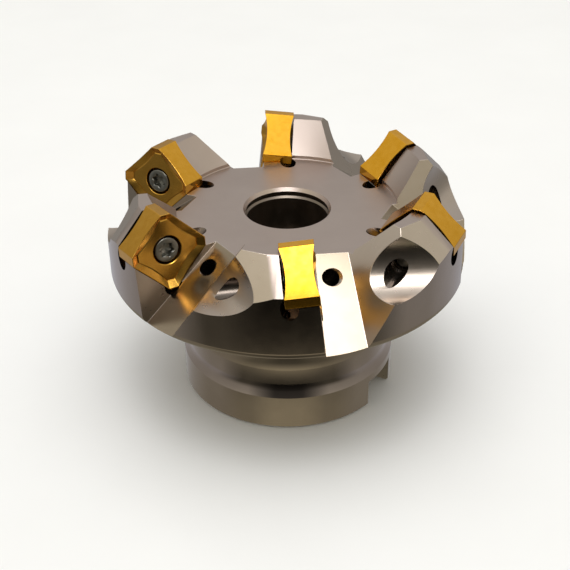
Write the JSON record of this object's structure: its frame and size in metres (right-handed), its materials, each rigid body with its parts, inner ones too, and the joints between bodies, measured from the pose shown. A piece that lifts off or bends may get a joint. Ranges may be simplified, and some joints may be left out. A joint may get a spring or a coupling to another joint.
{
  "type": "face mill",
  "caption": "Shell-type face mill: stepped steel cutter body with deep gullets, gold-coated octagonal indexable inserts, countersunk clamping screws and a keyed arbor bore.",
  "frame": {"origin": "on the cutter axis, in the plane of the arbor face, the flat back face that rests on the arbor's shoulder", "axes": "+Z along the cutter axis from the arbor face to the cutting face; X along the two drive slots; Y square to them"},
  "size_m": [0.0766, 0.0764, 0.05],
  "materials": {
    "nickel_steel": "fine-turned satin, nickel-plated tool steel",
    "coated_carbide": "satin gold titanium-nitride coating on carbide",
    "black_screw_steel": "black-oxide alloy steel, slightly worn"
  },
  "bodies": {
    "cutter": {"cutter_body": "nickel_steel"},
    "insert_1": {"insert_1": "coated_carbide"},
    "insert_screw_1": {"insert_screw_1": "black_screw_steel"},
    "insert_2": {"insert_2": "coated_carbide"},
    "insert_screw_2": {"insert_screw_2": "black_screw_steel"},
    "insert_3": {"insert_3": "coated_carbide"},
    "insert_screw_3": {"insert_screw_3": "black_screw_steel"},
    "insert_4": {"insert_4": "coated_carbide"},
    "insert_screw_4": {"insert_screw_4": "black_screw_steel"},
    "insert_5": {"insert_5": "coated_carbide"},
    "insert_screw_5": {"insert_screw_5": "black_screw_steel"},
    "insert_6": {"insert_6": "coated_carbide"},
    "insert_screw_6": {"insert_screw_6": "black_screw_steel"}
  },
  "joints": [
    {"name": "insert_1_lift", "type": "slide", "parent": "cutter", "child": "insert_1", "axis": [-0.0167, 0.9936, 0.1113], "range_m": [0, 0.007]},
    {"name": "insert_screw_1_turn", "type": "hinge", "parent": "insert_1", "child": "insert_screw_1", "pos_m": [0.03019, 0.00532, 0.04205], "axis": [-0.0167, 0.9936, 0.1113], "range_deg": [0, 3600]},
    {"name": "insert_2_lift", "type": "slide", "parent": "cutter", "child": "insert_2", "axis": [-0.8688, 0.4824, 0.1113], "range_m": [0, 0.007]},
    {"name": "insert_screw_2_turn", "type": "hinge", "parent": "insert_2", "child": "insert_screw_2", "pos_m": [0.01048, 0.02881, 0.04205], "axis": [-0.8688, 0.4824, 0.1113], "range_deg": [0, 3600]},
    {"name": "insert_3_lift", "type": "slide", "parent": "cutter", "child": "insert_3", "axis": [-0.8522, -0.5112, 0.1113], "range_m": [0, 0.007]},
    {"name": "insert_screw_3_turn", "type": "hinge", "parent": "insert_3", "child": "insert_screw_3", "pos_m": [-0.01971, 0.02348, 0.04205], "axis": [-0.8522, -0.5112, 0.1113], "range_deg": [0, 3600]},
    {"name": "insert_4_lift", "type": "slide", "parent": "cutter", "child": "insert_4", "axis": [0.0167, -0.9936, 0.1113], "range_m": [0, 0.007]},
    {"name": "insert_screw_4_turn", "type": "hinge", "parent": "insert_4", "child": "insert_screw_4", "pos_m": [-0.03019, -0.00532, 0.04205], "axis": [0.0167, -0.9936, 0.1113], "range_deg": [0, 3600]},
    {"name": "insert_5_lift", "type": "slide", "parent": "cutter", "child": "insert_5", "axis": [0.8688, -0.4824, 0.1113], "range_m": [0, 0.007]},
    {"name": "insert_screw_5_turn", "type": "hinge", "parent": "insert_5", "child": "insert_screw_5", "pos_m": [-0.01048, -0.02881, 0.04205], "axis": [0.8688, -0.4824, 0.1113], "range_deg": [0, 3600]},
    {"name": "insert_6_lift", "type": "slide", "parent": "cutter", "child": "insert_6", "axis": [0.8522, 0.5112, 0.1113], "range_m": [0, 0.007]},
    {"name": "insert_screw_6_turn", "type": "hinge", "parent": "insert_6", "child": "insert_screw_6", "pos_m": [0.01971, -0.02348, 0.04205], "axis": [0.8522, 0.5112, 0.1113], "range_deg": [0, 3600]}
  ],
  "couplings": [
    {"joint": "insert_screw_1_turn", "follows": "insert_1_lift", "rad_per_m": 8976},
    {"joint": "insert_screw_2_turn", "follows": "insert_2_lift", "rad_per_m": 8976},
    {"joint": "insert_screw_3_turn", "follows": "insert_3_lift", "rad_per_m": 8976},
    {"joint": "insert_screw_4_turn", "follows": "insert_4_lift", "rad_per_m": 8976},
    {"joint": "insert_screw_5_turn", "follows": "insert_5_lift", "rad_per_m": 8976},
    {"joint": "insert_screw_6_turn", "follows": "insert_6_lift", "rad_per_m": 8976}
  ]
}
